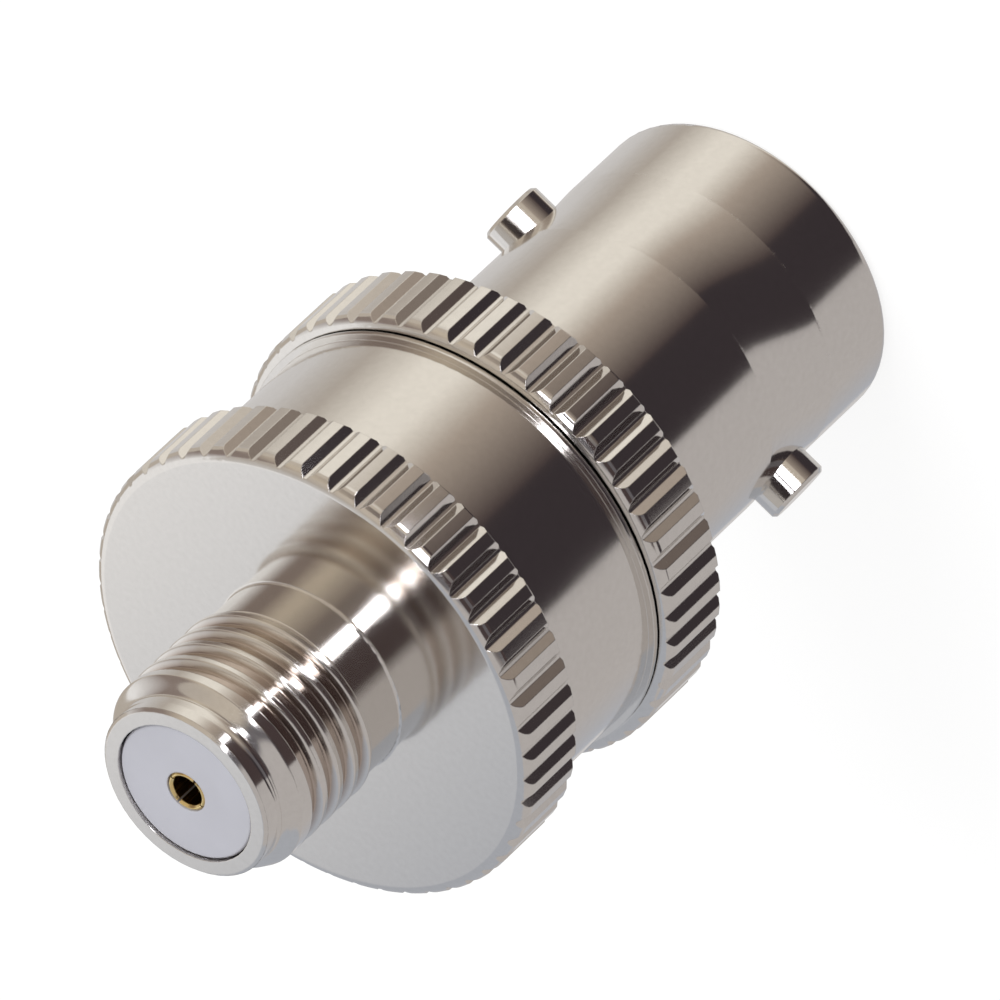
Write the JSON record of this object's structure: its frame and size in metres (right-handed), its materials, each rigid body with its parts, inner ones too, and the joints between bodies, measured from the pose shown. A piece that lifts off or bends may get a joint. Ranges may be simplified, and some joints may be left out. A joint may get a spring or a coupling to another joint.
{
  "type": "coaxial adapter",
  "caption": "Between-series coaxial adapter with a small threaded socket at its front, a studded bayonet socket at its back and knurled grip rings round its middle.",
  "frame": {"origin": "centre of the bayonet mouth, which is the lowest face", "axes": "+Z along the axis from the bayonet mouth to the threaded end, with the two studs on the X axis"},
  "size_m": [0.0144, 0.0144, 0.0264],
  "materials": {
    "nickel": "bright nickel plate, slightly satin",
    "gold": "gold plate, bright",
    "brass": "turned brass",
    "fluoropolymer": "matte white"
  },
  "bodies": {
    "root": {"threaded_shell": "nickel", "bayonet_shell": "nickel", "stud_left": "nickel", "stud_right": "nickel", "front_insulator": "fluoropolymer", "front_contact": "gold", "centre_pin": "gold", "support_bead": "fluoropolymer", "clamp_sleeve": "brass", "rear_insulator": "fluoropolymer", "rear_contact": "gold"}
  },
  "joints": []
}
